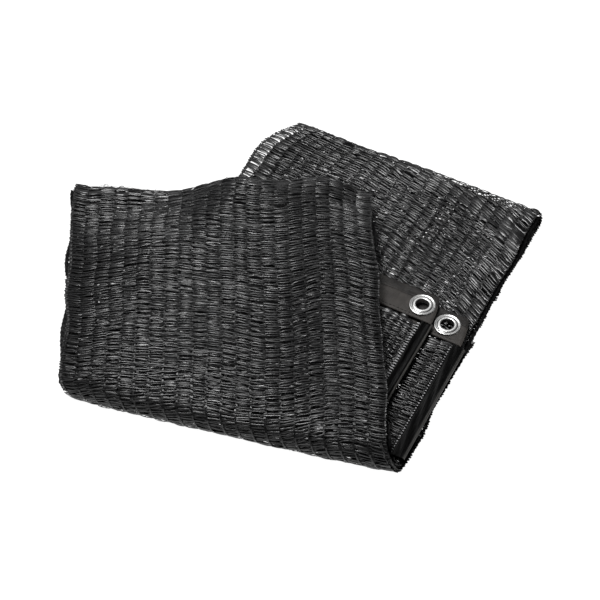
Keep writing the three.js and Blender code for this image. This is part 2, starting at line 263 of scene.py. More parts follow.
TAPE_HOLE_RADIUS = 7.6
Stitch = namedtuple("Stitch", "pitch length width height")
HEM_STITCH = Stitch(3.2, 2.4, 0.75, 0.35)
UPPER_SIDE_STITCH = Stitch(2.5, 1.0, 3.0, 0.5)
LOWER_SIDE_STITCH = Stitch(2.5, 0.8, 1.3, 0.3)
SIDE_STITCH_OUT = -0.6
SIDE_STITCH_LIFT = 1.3
SEAM_START = 3.0
SIDE_SEAM_START = 2.0
SEAM_STOP = 3.0
STITCH_POINTS = 6
STITCH_SINK = 0.1

# The eyelet's section, as pairs of radius and height above the tape's face or below its back.
EYELET_PROFILE = (
    (5.0, 0.3), (5.05, 0.85), (5.5, 1.2), (6.2, 1.3), (7.2, 1.15), (7.9, 0.7), (8.3, 0.5), (8.8, 0.6),
    (9.4, 0.8), (9.9, 0.65), (10.2, 0.3), (10.2, 0.05), (9.4, 0.02), (6.0, 0.02), (6.0, -0.02),
    (9.2, -0.02), (9.4, -0.3), (9.2, -0.6), (6.0, -0.6), (5.2, -0.55), (5.0, -0.3),
)
EYELET_SIDES = 96

# Colours, from the dark parts of each material to its light ones.
NET_COLOURS = ((0.001, 0.001, 0.0012), (0.009, 0.0088, 0.0094))
TAPE_COLOURS = ((0.006, 0.005, 0.0045), (0.053, 0.0475, 0.043))
SIDE_TAPE_COLOURS = ((0.001, 0.001, 0.001), (0.05, 0.048, 0.045))
# The seam thread's light grey is painted highlight, for the glints along the side seams.
THREAD_GLINT_COLOURS = ((0.3, 0.3, 0.305), (0.62, 0.62, 0.63))
EYELET_COLOURS = ((0.5, 0.5, 0.49), (0.64, 0.64, 0.63))
TAPE_SPECULAR = 0.3
SIDE_TAPE_SPECULAR = 0.15
FLOOR_GREY = 0.2
FLOOR_ROUGHNESS = 0.9
FLOOR_GLOW = 1.0
FLOOR_SIZE = 8

# The camera, from the middle of the part, in metres and millimetres of lens.
CAMERA_OFFSET = (0, -0.8975, 1.0509)
FOCAL_LENGTH = 106.8
SENSOR_WIDTH = 36

# The sky is brightest towards an axis. Its stops are a share of the way there and a brightness.
SKY_AXIS = (0, 0.6, 0.8)
SKY = ((0.01, 0.02), (0.5, 0.08), (0.8, 0.2), (0.97, 0.3))
SKY_BLUE = 1.02
WORLD_STRENGTH = 1.0

# Lights, in metres and watts.
Light = namedtuple("Light", "name place aim size power")
LIGHTS = (
    Light("sheen", (-0.38, 0.2, 1.5), (-0.13, -0.08, 0), 0.5, 22.0),
    Light("overhead", (0.1, 0.85, 1.5), (0, 0, 0), 0.9, 0.8),
    Light("side_key", (-0.9, 0.75, 1.2), (0, 0, 0), 0.35, 0.7),
    Light("back_key", (0.35, 1.1, 1.25), (0, 0, 0), 0.35, 0.8),
)


def unit(v):
    """A vector's direction."""
    return np.asarray(v, float) / np.linalg.norm(v)


def smoothstep(x, low, high):
    """A smooth step from 0 at low to 1 at high."""
    share = np.clip((x - low) / (high - low), 0, 1)
    return share * share * (3 - 2 * share)


def cross2(a, b):
    """The cross product of vectors in plan."""
    return a[..., 0] * b[1] - a[..., 1] * b[0]


BACK_CORNERS = {name: np.array(getattr(BACK, name)) for name in BACK._fields[:4]}
CREASE_DIRECTION = unit(BACK_CORNERS["near_right"] - BACK_CORNERS["near_left"])
AWAY_FROM_CREASE = np.array([-CREASE_DIRECTION[1], CREASE_DIRECTION[0]])
BACK_EDGE = unit(BACK_CORNERS["far_right"] - BACK_CORNERS["near_right"])
BACK_ROW = unit(BACK_CORNERS["far_left"] - BACK_CORNERS["far_right"])
TOWARDS_CREASE = np.array([-BACK_ROW[1], BACK_ROW[0]])
LEFT_EDGE = unit(BACK_CORNERS["far_left"] - BACK_CORNERS["near_left"])


def swell(table, place):
    """The height, at places in plan, of wide soft swells."""
    total = np.zeros(place.shape[:-1])
    for s in table:
        distance = np.hypot(place[..., 0] - s.x, place[..., 1] - s.y) / s.reach
        total = total + s.height * np.exp(-distance * distance)
    return total


def flap_corner(flap):
    """A flap's outer corner in plan."""
    inwards = np.array([-BACK_EDGE[1], BACK_EDGE[0]])
    return BACK_CORNERS["near_right"] + BACK_EDGE * flap.reach + inwards * flap.inset


def beyond_end(flap, place):
    """How far places lie past a flap's end."""
    return -((place - flap_corner(flap)) @ TOWARDS_CREASE)


def back_height(level, place):
    """The height of a layer of the back stack, or of a flap on it."""
    distance = (place - BACK_CORNERS["near_left"]) @ AWAY_FROM_CREASE
    share = np.clip(distance / BULGE_RUN, 0, 1)
    pitch = CREASE_PITCH + (FAR_PITCH - CREASE_PITCH) * share
    stacked = min(level, BACK_TOP_LEVEL)
    height = NET_THICKNESS / 2 + stacked * pitch + swell(BACK_SWELLS, place) * stacked / BACK_TOP_LEVEL
    if level >= LOWER_FLAP_LEVEL:
        height = height + LOWER_FLAP_RISE
    if level >= UPPER_FLAP_LEVEL:
        height = height + UPPER_FLAP_RISE
    return height


def support_height(place):
    """What the front stack lies on: the back stack and flaps, and the floor beside them."""
    past_flaps = smoothstep(beyond_end(UPPER_FLAP, place), FLAP_STEP_START, FLAP_STEP_END)
    top = back_height(UPPER_FLAP_LEVEL, place) - past_flaps * (LOWER_FLAP_RISE + UPPER_FLAP_RISE)
    from_corner = place - BACK_CORNERS["near_left"]
    far_share = smoothstep(from_corner @ LEFT_EDGE, *SAG_NARROWS)
    sag_end = WIDE_SAG_END + (SAG_END - WIDE_SAG_END) * far_share
    on_stack = smoothstep(cross2(from_corner, LEFT_EDGE), -sag_end, SAG_START)
    return (top + NET_THICKNESS / 2 + STACK_GAP) * on_stack


def front_height(level, place):
    """The height of a layer of the front stack, which rolls down towards the crease."""
    from_crease = (place - np.array(FRONT.near_left)) @ AWAY_FROM_CREASE
    roll = ROLL_DROP * np.maximum(0, 1 - from_crease / ROLL_RUN) ** 2
    rise = level * FRONT_PITCH + (swell(FRONT_SWELLS, place) - roll) * (level + 1) / FRONT_LAYERS
    return support_height(place) + NET_THICKNESS / 2 + rise


def layer_height(stretch, place):
    """The height of a stretch's middle surface."""
    height = back_height if stretch.stack is BACK else front_height
    return height(stretch.level, place)


def far_direction(stack):
    """The direction in plan that a stack's far edge faces."""
    along = unit(np.subtract(stack.far_right, stack.far_left))
    return np.array([-along[1], along[0]])


def far_wave(stack, share):
    """How far a stack's far edge waves out, at shares of its width."""
    total = np.zeros(np.shape(share))
    for wave in stack.far_waves:
        distance = (share - wave.share) / wave.reach
        total = total + wave.out * np.exp(-distance * distance)
    return total


def plan_place(stretch, u, v):
    """A place on a stretch in plan: u from its left edge to its right one, v from the crease away."""
    stack = stretch.stack
    width = math.dist(stack.near_left, stack.near_right)
    trim_run = (1 - stack.trim_start) or 1.0
    trim = np.maximum(0, (v - stack.trim_start) / trim_run)
    wander = 0 if stretch.flap else 1
    ripple = wander * EDGE_RIPPLE * np.sin(2 * math.pi * v / RIPPLE_LENGTH + stretch.level)
    left = stretch.left - ripple - stack.corner_trim * trim * trim
    right = stretch.right + ripple
    share = u - left / width * (1 - u) ** EDGE_SQUEEZE + right / width * u**EDGE_SQUEEZE
    share = share[..., None]
    near = np.array(stack.near_left) * (1 - share) + np.array(stack.near_right) * share
    far = np.array(stack.far_left) * (1 - share) + np.array(stack.far_right) * share
    v = v[..., None]
    wave = wander * far_wave(stack, share) * v * v
    return near * (1 - v) + far * v + far_direction(stack) * wave


def flap_end(stretch, u):
    """Where a flap's net ends, as a share of its stack's length."""
    start = beyond_end(stretch.flap, plan_place(stretch, u, np.zeros_like(u)))
    middle = beyond_end(stretch.flap, plan_place(stretch, u, np.full_like(u, 0.5)))
    tape_edge = -END_TAPE_WIDTH - SEAM_GAP
    return 0.5 * (tape_edge - start) / (middle - start)


def layer_points(stretch, u, v):
    """Points of a stretch's middle surface."""
    place = plan_place(stretch, u, v)
    return np.concatenate([place, layer_height(stretch, place)[..., None]], axis=-1)


def stretch_rows(stretch):
    """A stretch's points in rows, from the crease to its far end."""
    u = np.linspace(0, 1, STEPS_ACROSS + 1)
    end = flap_end(stretch, u) if stretch.flap else np.ones_like(u)
    shares = np.linspace(0, 1, STEPS_ALONG + 1)[:, None]
    return layer_points(stretch, np.broadcast_to(u, (STEPS_ALONG + 1, len(u))), shares * end)


def turn_rows(from_row, to_row, outwards, depth, steps, tilt):
    """A turn from one row to another, which starts and ends sloping by tilt."""
    angle = tilt + (math.pi - 2 * tilt) * np.arange(1, steps)[:, None, None] / steps
    share = (1 - np.cos(angle) / math.cos(tilt)) / 2
    out = np.array([outwards[0], outwards[1], 0.0])
    return from_row * (1 - share) + to_row * share + out * depth * (np.sin(angle) - math.sin(tilt))


def crease_depth(back_level):
    """How far a turn at the crease stands out, at each place across the sheet."""
    u = np.linspace(0, 1, STEPS_ACROSS + 1)[:, None]
    taper = CREASE_END_TAPER * np.abs(2 * u - 1) ** TAPER_SQUEEZE
    return (INNER_CREASE_DEPTH + CREASE_DEPTH_STEP * (UPPER_FLAP_LEVEL - back_level)) * (1 - taper)


def sheet_rows():
    """The whole sheet's middle surface, row by row, with the row at each stretch's middle and each
    turn's apex."""
    blocks = [stretch_rows(STRETCHES[0])[::-1]]
    marks = {"start": 0, "middle": [STEPS_ALONG // 2], "apex": []}
    count = STEPS_ALONG + 1
    for before, stretch in zip(STRETCHES, STRETCHES[1:]):
        rows = stretch_rows(stretch)
        at_crease = before.stack is not stretch.stack
        if not at_crease:
            rows = rows[::-1]
        back_level = before.level if before.stack is BACK else stretch.level
        pitch = FAR_PITCH if stretch.stack is BACK else FRONT_PITCH
        far_depth = 0.5 * abs(before.level - stretch.level) * pitch
        outwards = -AWAY_FROM_CREASE if at_crease else far_direction(stretch.stack)
        depth, steps = (crease_depth(back_level), CREASE_STEPS) if at_crease else (far_depth, FAR_STEPS)
        tilt = ROLL_TILT if at_crease and FRONT_LAYERS - 1 in (before.level, stretch.level) else 0
        blocks.append(turn_rows(blocks[-1][-1], rows[0], outwards, depth, steps, tilt))
        marks["apex"].append(count + steps // 2 - 1)
        count += steps - 1
        blocks.append(rows)
        marks["middle"].append(count + STEPS_ALONG // 2)
        count += STEPS_ALONG + 1
    marks["end"] = count - 1
    return np.concatenate(blocks), marks


class Lattice:
    """A strip of the sheet, worked out anew at even steps of its own length, from an anchor row."""

    def __init__(self, rows, first, last, anchor, even_ends=False):
        part = rows[first : last + 1]
        lengths = np.linalg.norm(np.diff(part, axis=0), axis=2)
        t = np.concatenate([np.zeros((1, part.shape[1])), np.cumsum(lengths, axis=0)])
        t = t - t[anchor - first]
        if even_ends:
            whole = t[-1] - t[0]
            t = t * (whole.mean() / whole)
        self.low = math.floor(t[0].min() / LATTICE_STEP) * LATTICE_STEP
        self.samples = np.arange(self.low, t[-1].max() + LATTICE_STEP, LATTICE_STEP)
        self.starts, self.ends = t[0], t[-1]
        columns = [
            [np.interp(self.samples, t[:, c], part[:, c, axis]) for axis in range(3)]
            for c in range(part.shape[1])
        ]
        self.points = np.array(columns).transpose(2, 0, 1)
        along = np.gradient(self.points, axis=0)
        across = np.gradient(self.points, axis=1)
        normals = np.cross(along, across)
        self.normals = normals / np.maximum(np.linalg.norm(normals, axis=2, keepdims=True), 1e-9)

    def inside(self, u, t, margin=0.0):
        shares = np.linspace(0, 1, len(self.starts))
        return (t > np.interp(u, shares, self.starts) + margin) & (
            t < np.interp(u, shares, self.ends) - margin
        )

    def at(self, u, t):
        """The points and normals of the sheet at shares u across it and lengths t along it."""
        row = np.clip((t - self.low) / LATTICE_STEP, 0, len(self.samples) - 1.001)
        column = np.clip(u * (self.points.shape[1] - 1), 0, self.points.shape[1] - 1.001)
        i, j = row.astype(int), column.astype(int)
        a, b = (row - i)[..., None], (column - j)[..., None]

        def mixed(grid):
            near = grid[i, j] * (1 - b) + grid[i, j + 1] * b
            far = grid[i + 1, j] * (1 - b) + grid[i + 1, j + 1] * b
            return near * (1 - a) + far * a

        # A place just past the sheet's edge lies on its tangent there.
        past = u - np.clip(u, 0, 1)
        slope = (self.points[i, j + 1] - self.points[i, j]) * (self.points.shape[1] - 1)
        return mixed(self.points) + slope * past[..., None], mixed(self.normals)


class MeshParts:
    """Points and quads gathered from several grids. Each point carries its place on its own strand."""

    def __init__(self):
        self.points, self.quads, self.strands = [], [], []
        self.count = 0

    def add_grids(self, points, along, across, tones, kept=None):
        """points holds several grids of the same size: grid, row, column, axis. kept says which of a
        single grid's quads are made."""
        grids, rows, columns = points.shape[:3]
        if grids == 0:
            return
        index = np.arange(rows * columns).reshape(rows, columns)
        quad = np.stack([index[:-1, :-1], index[:-1, 1:], index[1:, 1:], index[1:, :-1]], axis=-1)
        if kept is not None:
            quad = quad[kept]
        starts = self.count + np.arange(grids) * rows * columns
        self.quads.append((quad.reshape(1, -1, 4) + starts[:, None, None]).reshape(-1, 4))
        self.points.append(points.reshape(-1, 3))
        shape = points.shape[:3]
        tones = np.asarray(tones).reshape(-1, 1, 1)
        strand = [np.broadcast_to(part, shape) for part in (along + 40 * tones, across, tones)]
        self.strands.append(np.stack(strand, axis=-1).reshape(-1, 3))
        self.count += grids * rows * columns

    def to_object(self, name, slot, material):
        """The gathered grids as one mesh object, in metres and in the part's own frame."""
        points = (np.concatenate(self.points) + PART_SHIFT) * MM
        points[:, 2] = np.maximum(points[:, 2], 0)
        quads = np.concatenate(self.quads)
        mesh = bpy.data.meshes.new(name)
        mesh.vertices.add(len(points))
        mesh.vertices.foreach_set("co", points.astype(np.float32).ravel())
        mesh.loops.add(quads.size)
        mesh.loops.foreach_set("vertex_index", quads.astype(np.int32).ravel())
        mesh.polygons.add(len(quads))
        mesh.polygons.foreach_set("loop_start", np.arange(0, quads.size, 4, dtype=np.int32))
        mesh.update(calc_edges=True)
        mesh.polygons.foreach_set("use_smooth", np.ones(len(quads), bool))
        strand = mesh.attributes.new("strand", "FLOAT_VECTOR", "POINT")
        strand.data.foreach_set("vector", np.concatenate(self.strands).astype(np.float32).ravel())
        mesh.materials.append(material)
        piece = bpy.data.objects.new(name, mesh)
        bpy.context.scene.collection.objects.link(piece)
        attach(piece, "root")
        return piece


def bump_field(table, place):
    """The height, at places in plan, of soft creases given in a table."""
    total = np.zeros(place.shape[:-1])
    for c in table:
        angle = math.radians(c.angle)
        x, y = place[..., 0] - c.x, place[..., 1] - c.y
        along = (x * math.cos(angle) + y * math.sin(angle)) / c.length
        across = (y * math.cos(angle) - x * math.sin(angle)) / c.width
        total = total + c.height * np.exp(-along * along - across * across)
    return total


def wobble(u, t, seed):
    """How far the knit's own lines wander from straight: across the strip and along it."""
    across = 0.7 * np.sin(t / 23 + seed) + 0.5 * np.sin(t / 9.1 + 7 * u + 2 * seed)
    along = 0.9 * np.sin(u * 9 + seed) + 0.7 * np.sin(u * 21 + t / 31 + seed)
    return across, along


class Knit:
    """One strip of knitted net, laid over a lattice."""

    def __init__(self, lattice, side, seed, creases, row_bend):
        self.lattice, self.side, self.seed = lattice, side, seed
        self.creases, self.row_bend = creases, row_bend
        self.random = np.random.default_rng(seed)
        self.parts = MeshParts()
        self.phases = self.random.uniform(0, 1, COLUMNS + 1)

    def fold_gain(self, t):
        """How much wider the tapes are at the far fold, where they bunch up."""
        return 1 + FOLD_GAIN * np.exp(-((t / FOLD_RUN) ** 2))

    def lay(self, s, t, h, along, across, tones):
        """Adds grids at s columns across, t along and h above the sheet's middle surface."""
        u = s / COLUMNS
        inside = np.clip(u, 0, 1)
        shift_s, shift_t = wobble(inside, t, self.seed)
        bend = self.row_bend * np.maximum(0, (inside - BEND_START) / (1 - BEND_START)) ** 2
        points, normals = self.lattice.at(u + shift_s / (COLUMNS * COLUMN_WIDTH), t + shift_t + bend)
        pucker = PUCKER * np.sin(t / 6.3 + 2.2 * np.sin(9 * u + self.seed)) * np.sin(17 * u + t / 19)
        lift = h + pucker + bump_field(self.creases, points[..., :2])
        self.parts.add_grids(points + normals * (self.side * lift)[..., None], along, across, tones)

    def normal(self, spread, count):
        """A random amount for each of several strands, as often under 0 as over it."""
        return self.random.normal(0, spread, (count, 1, 1))

    def uniform(self, bounds, count):
        """A random amount between two bounds for each of several strands."""
        return self.random.uniform(*bounds, (count, 1, 1))

    def waves(self, spread, turns, i):
        """A wave along each strand, of random height and phase. i is the place along it, 0 to 1."""
        count = len(i)
        height = self.normal(spread, count)
        return height * np.sin(2 * math.pi * (i * turns + self.uniform((0, 1), count)))

    def strands(self, column, course, steps, widths):
        """The two strands of each course: they cross a column and draw together at its chains."""
        count = len(column)
        i = np.linspace(0, 1, steps[0] + 1)[None, :, None]
        j = np.linspace(-0.5, 0.5, steps[1] + 1)[None, None, :]
        each_i = np.broadcast_to(i, (count, steps[0] + 1, 1))
        middle = 1 - (2 * i - 1) ** 4
        start = (course + self.phases[column.astype(int)])[:, None, None] * COURSE
        for half in (-1, 1):
            width = STRAND_END_WIDTH + (STRAND_WIDTH - STRAND_END_WIDTH) * middle
            width = width * widths[:, None, None] * self.uniform(WIDTH_RANGE, count)
            width = width * self.fold_gain(course * COURSE)[:, None, None]
            spread = STRAND_END_SPREAD + (STRAND_SPREAD - STRAND_END_SPREAD) * middle
            kinked = self.uniform((0, 1), count) < KINKED_SHARE
            twist = self.normal(STRAND_TWIST, count) + kinked * self.normal(KINKED_TWIST, count)
            wave = self.waves(STRAND_WAVE, WAVES_A_STRAND, each_i)
            crinkle = self.waves(STRAND_CRINKLE, CRINKLES_A_STRAND, each_i)
            t = start + half * spread * COURSE + self.normal(STRAND_SHIFT, count)
            t = t + self.normal(STRAND_SLANT, count) * (2 * i - 1)
            t = t + self.normal(STRAND_BOW, count) * middle + wave + j * width
            arch = STRAND_ARCH * (1 - (2 * j) ** 4) * self.uniform(ARCH_RANGE, count)
            h = STRAND_BULGE * np.sin(math.pi * i) ** 0.7 + arch + twist * j * width * middle
            h = h + self.normal(STRAND_RISE, count) * middle + crinkle - STRAND_DROP
            tones = self.random.uniform(0, 1, count)
            s = column[:, None, None] + i + STRAND_OVERLAP * (2 * i - 1) + 0 * j
            self.lay(s, t, h, i * COLUMN_WIDTH, j * width, tones)

    def chains(self, line, course, segments):
        """Chain stitches: two thin strands that cross once a course."""
        count = len(line)
        i = np.linspace(0, 1, segments + 1)[None, :, None]
        j = np.linspace(-0.5, 0.5, 2)[None, None, :]
        start = (course + self.phases[line.astype(int)])[:, None, None]
        outwards = np.where(line == 0, -1, np.where(line == COLUMNS, 1, 0))[:, None, None]
        width = np.where(outwards, outwards * EDGE_CHAIN_WIDTH, CHAIN_WIDTH)
        height = np.where(outwards, EDGE_CHAIN_HEIGHT - EDGE_CHAIN_DROP * j, CHAIN_HEIGHT)
        for strand in (-1, 1):
            swing = strand * CHAIN_SPREAD * np.cos(math.pi * i)
            swing = swing * (1 + self.normal(CHAIN_UNEVENNESS, count))
            t = (start + i) * COURSE + 0 * j
            s = line[:, None, None] + (swing + j * width - EDGE_CHAIN_INSET * outwards) / COLUMN_WIDTH
            h = height + CHAIN_CROSSING * strand * np.sin(math.pi * i) + 0 * s
            self.lay(s, t, h, i * COURSE, j * width, self.random.uniform(*CHAIN_TONES, count))

    def edge_loops(self, edge, courses):
        """Small loops of tape that stand out past the last chain of a side edge."""
        count = len(courses)
        turn = np.linspace(0, math.pi, 6)[None, :, None]
        j = np.linspace(-0.5, 0.5, 2)[None, None, :]
        reach = self.uniform(LOOP_REACH, count) * (j + 0.5)
        outwards = -1 if edge == 0 else 1
        s = edge * COLUMNS + outwards * reach * np.sin(turn) / COLUMN_WIDTH
        t = courses[:, None, None] * COURSE + LOOP_WIDTH * (j + 0.5) * np.cos(turn)
        t = t + self.normal(LOOP_SHIFT, count)
        h = self.normal(LOOP_LIFT, count) * np.sin(turn) + 0 * j
        self.lay(s, t, h, turn, j * LOOP_WIDTH, self.random.uniform(*LOOP_TONES, count))

    def frays(self, count):
        """Thin loose loops that stand up from the fold at the lattice's anchor row."""
        turn = np.linspace(0, math.pi, 7)[None, :, None]
        j = np.linspace(-0.5, 0.5, 2)[None, None, :]
        place = self.uniform((0.5, COLUMNS - 0.5), count)
        half = self.uniform(FRAY_HALF_SPAN, count)
        lean = self.normal(FRAY_LEAN, count)
        s = place + half * np.cos(turn) + 0 * j
        t = self.normal(FRAY_SHIFT, count) + lean * np.sin(turn) + j * FRAY_WIDTH
        h = self.uniform(FRAY_HEIGHT, count) * np.sin(turn) + 0 * j
        self.lay(s, t, h, turn, j * FRAY_WIDTH, self.random.uniform(*FRAY_TONES, count))

    def cells(self, lines, shift, margin):
        """The columns or lines, and the courses, that lie inside the strip."""
        low = int(math.floor(self.lattice.starts.min() / COURSE)) - 1
        high = int(math.ceil(self.lattice.ends.max() / COURSE)) + 1
        line, course = [g.ravel().astype(float) for g in np.meshgrid(range(lines), range(low, high))]
        u = (line + shift) / COLUMNS
        t = (course + self.phases[line.astype(int)] + 0.5 - shift) * COURSE
        kept = self.lattice.inside(u, t, margin * COURSE)
        return line[kept], course[kept], self.lattice.at(u[kept], t[kept])[0]


def knit_strip(name, lattice, side, seed, fine, creases=(), row_bend=0.0, frays=0, dense_edges=False):
    """One strip of the net. fine says, for points of the sheet, where the full detail shows."""
    knit = Knit(lattice, side, seed, creases, row_bend)
    column, course, points = knit.cells(COLUMNS, 0.5, 0.3)
    shown = fine(points)
    at_edge = (column < EDGE_COLUMNS) | (column >= COLUMNS - EDGE_COLUMNS)
    widths = np.where(shown, 1, HIDDEN_WIDENING) * np.where(at_edge & dense_edges, EDGE_WIDENING, 1)
    knit.strands(column[shown], course[shown], SHOWN_STEPS, widths[shown])
    for chosen, steps in ((~shown & at_edge, HIDDEN_EDGE_STEPS), (~shown & ~at_edge, HIDDEN_STEPS)):
        knit.strands(column[chosen], course[chosen], steps, widths[chosen])
    line, course, points = knit.cells(COLUMNS + 1, 0.0, 0.5)
    shown = fine(points)
    knit.chains(line[shown], course[shown], 4)
    knit.chains(line[~shown], course[~shown], 1)
    for edge in (0, 1):
        low, high = lattice.starts[-edge], lattice.ends[-edge]
        first, last = math.ceil(low / COURSE) + 1, math.floor(high / COURSE)
        knit.edge_loops(edge, np.arange(first, last, 1 / LOOPS_A_COURSE))
    if frays:
        knit.frays(frays)
    return knit.parts.to_object(name, "net", MATERIALS["net"])


def smooth_line(points, steps, closed):
    """A smooth curve through points, with so many steps between each two of them."""
    points = np.array(points, float)
    count = len(points)
    out = []
    for i in range(count if closed else count - 1):
        if closed:
            a, b, c, d = (points[(i + k) % count] for k in (-1, 0, 1, 2))
        else:
            a, b, c, d = (points[min(max(i + k, 0), count - 1)] for k in (-1, 0, 1, 2))
        for s in np.arange(steps) / steps:
            out.append(0.5 * (2 * b + (c - a) * s + (2 * a - 5 * b + 4 * c - d) * s * s
                              + (3 * b - a - 3 * c + d) * s**3))
    if not closed:
        out.append(points[-1])
    return np.array(out)


def tape_points(flap, along, inwards, lift):
    """Points above a flap's layer, along its end from its corner and inwards from its end."""
    place = flap_corner(flap) + along[..., None] * BACK_ROW + inwards[..., None] * TOWARDS_CREASE
    height = back_height(flap.level, place) + lift
    return np.concatenate([place, height[..., None]], axis=-1)


def eyelet_axes(flap):
    """An eyelet's centre and its three axes, as its flap lies there."""
    def at(side, end):
        return tape_points(flap, np.array(flap.eyelet_side + side), np.array(EYELET_FROM_END + end), 0)

    along = unit(at(EYELET_RADIUS, 0) - at(-EYELET_RADIUS, 0))
    inwards = unit(at(0, EYELET_RADIUS) - at(0, -EYELET_RADIUS))
    axis = unit(np.cross(along, inwards))
    return at(0, 0), along, np.cross(axis, along), axis


def end_tape_relief(flap, along, inwards):
    """Soft creases of an end tape. It lies flat round its eyelet."""
    height = 0.16 * np.sin(along / 2.1 + 1.3 * np.sin(inwards / 5)) * np.exp(-(((inwards - 24) / 3) ** 2))
    height = height + 0.14 * np.sin(along / 3.3 + 2 * np.sin(inwards / 4)) * np.exp(-((inwards / 6) ** 2))
    height = height + 0.12 * np.sin(along / 9 + inwards / 7) + 0.1 * np.sin(along / 17 - inwards / 3.1)
    height = height + bump_field(END_TAPE_CREASES, np.stack([along, inwards], axis=-1))
    distance = np.hypot(along - flap.eyelet_side, inwards - EYELET_FROM_END)
    return height * smoothstep(distance, EYELET_RADIUS - 1, EYELET_RADIUS + 5)


def end_tape(flap):
    """The tape folded over a flap's end: a flat loop in section, open round its eyelet's barrel."""
    section = smooth_line(END_TAPE_SECTION, 4, closed=True)
    section = np.concatenate([section, section[:1]])
    share, lift = section[:, 0] / END_TAPE_WIDTH, section[:, 1]
    steps = np.linspace(0, 1, int(flap.length / TAPE_STEP) + 1)[:, None]
    start = CORNER_TRIM * (1 - np.clip(share, 0, 1)) ** 2
    along = start + (flap.length - start) * steps
    inwards = np.broadcast_to(section[:, 0], along.shape)
    top = smoothstep(lift, -0.2, 0.5)
    rounding = 1 - 0.7 * np.maximum(0, 1 - (along - start) / TAPE_ROUNDING) ** 2
    height = lift * rounding + end_tape_relief(flap, along, inwards) * top
    parts = MeshParts()
    points = tape_points(flap, along, inwards, height)
    distance = np.hypot(along - flap.eyelet_side, inwards - EYELET_FROM_END)
    kept = (distance[:-1, :-1] + distance[1:, 1:]) / 2 > TAPE_HOLE_RADIUS
    parts.add_grids(points[None], along[None], inwards[None], [0.5], kept)
    run = stitch_run(CORNER_TRIM + SEAM_START, flap.length - SEAM_STOP, HEM_STITCH)
    seam = np.full_like(run, END_TAPE_SEAM)
    lift = TAPE_THICKNESS / 2 + end_tape_relief(flap, run, seam)
    add_stitches(parts, run, tape_points(flap, run, seam, lift), TOWARDS_CREASE, HEM_STITCH)
    return parts.to_object(f"{flap.name}_end_hem", "tape", MATERIALS["tape"])


def stitch_run(first, last, stitch):
    """How far along a seam the points of its stitches lie: stitch, row, column."""
    starts = np.arange(first, last, stitch.pitch)[:, None, None]
    i = np.linspace(0, 1, STITCH_POINTS)[None, :, None]
    return starts + i * stitch.length + np.zeros(STITCH_POINTS)


def add_stitches(parts, run, points, sideways, stitch):
    """A row of small raised stitches, at run along a seam and points on it."""
    i = np.linspace(0, 1, STITCH_POINTS)[None, :, None]
    j = np.linspace(-0.5, 0.5, STITCH_POINTS)[None, None, :]
    round_off = np.sin(math.pi * np.clip(i, 0.02, 0.98)) ** 0.5
    width = stitch.width * round_off * j
    points[..., :2] += width[..., None] * sideways
    points[..., 2] += stitch.height * round_off * np.cos(math.pi * j) - STITCH_SINK
    parts.add_grids(points, run, width + 0 * run, np.ones(len(run)))


def side_tape(flap, section, stitch):
    """The tape along a flap's side: it slopes down from its seam and rolls up at its outer edge."""
    stretch = next(s for s in STRETCHES if s.flap is flap)
    outline = smooth_line(section, 4, closed=True)
    outline = np.concatenate([outline, outline[:1]])
    shares = np.linspace(0, 1, SIDE_TAPE_STEPS)

    def path(out, share):
        edge = stretch._replace(right=stretch.right + SEAM_GAP + out)
        return layer_points(edge, np.ones(share.shape), share * flap_end(edge, np.array(1.0)))

    length = np.linalg.norm(path(0, np.array(1.0)) - path(0, np.array(0.0)))
    droop = LOWER_SIDE_DROOP if flap is LOWER_FLAP else 0
    rows = []
    for out, lift in outline:
        points = path(out, shares)
        run = shares * length
        roll = 0.35 * np.sin(run / 13 + out / 3) + 0.2 * np.sin(run / 5.1 + out)
        points[:, 2] -= droop * (out / SIDE_TAPE_WIDTH) ** 2
        points[:, 2] += lift + roll * smoothstep(np.array(lift), -0.4, 0.6)
        rows.append(points)
    points = np.stack(rows, axis=1)
    along = np.broadcast_to((shares * length)[:, None], points.shape[:2])
    across = np.broadcast_to(outline[:, 0], points.shape[:2])
    parts = MeshParts()
    parts.add_grids(points[None], along[None], across[None], [0.2])
    tape = parts.to_object(f"{flap.name}_side_hem", "tape", MATERIALS["side_tape"])
    seam = MeshParts()
    run = stitch_run(SIDE_SEAM_START, length - SEAM_STOP, stitch)
    points = path(SIDE_STITCH_OUT, run / length) + np.array([0, 0, SIDE_STITCH_LIFT])
    add_stitches(seam, run, points, BACK_ROW, stitch)
    thread = seam.to_object(f"{flap.name}_side_seam", "tape", MATERIALS["thread"])
    return [tape, thread]


def eyelet(flap):
    """A pressed eyelet: a crowned flange with a rolled lip, a barrel and a flat washer below."""
    centre, along, inwards, axis = eyelet_axes(flap)
    profile = smooth_line(EYELET_PROFILE, 3, closed=True)
    profile = np.concatenate([profile, profile[:1]])
    face = TAPE_THICKNESS / 2 + SEAM_GAP
    angle = np.linspace(0, 2 * math.pi, EYELET_SIDES + 1)[:, None, None]
    radius, height = profile[None, :, :1], profile[None, :, 1:]
    height = np.where(height > 0, height + face, height - face)
    points = centre + radius * (np.cos(angle) * along + np.sin(angle) * inwards) + height * axis
    parts = MeshParts()
    run = angle[..., 0] * radius[..., 0]
    parts.add_grids(points[None], run[None], height[None, ..., 0], [0.5])
    return parts.to_object(f"{flap.name}_metal_ring", "eyelet", MATERIALS["eyelet"])


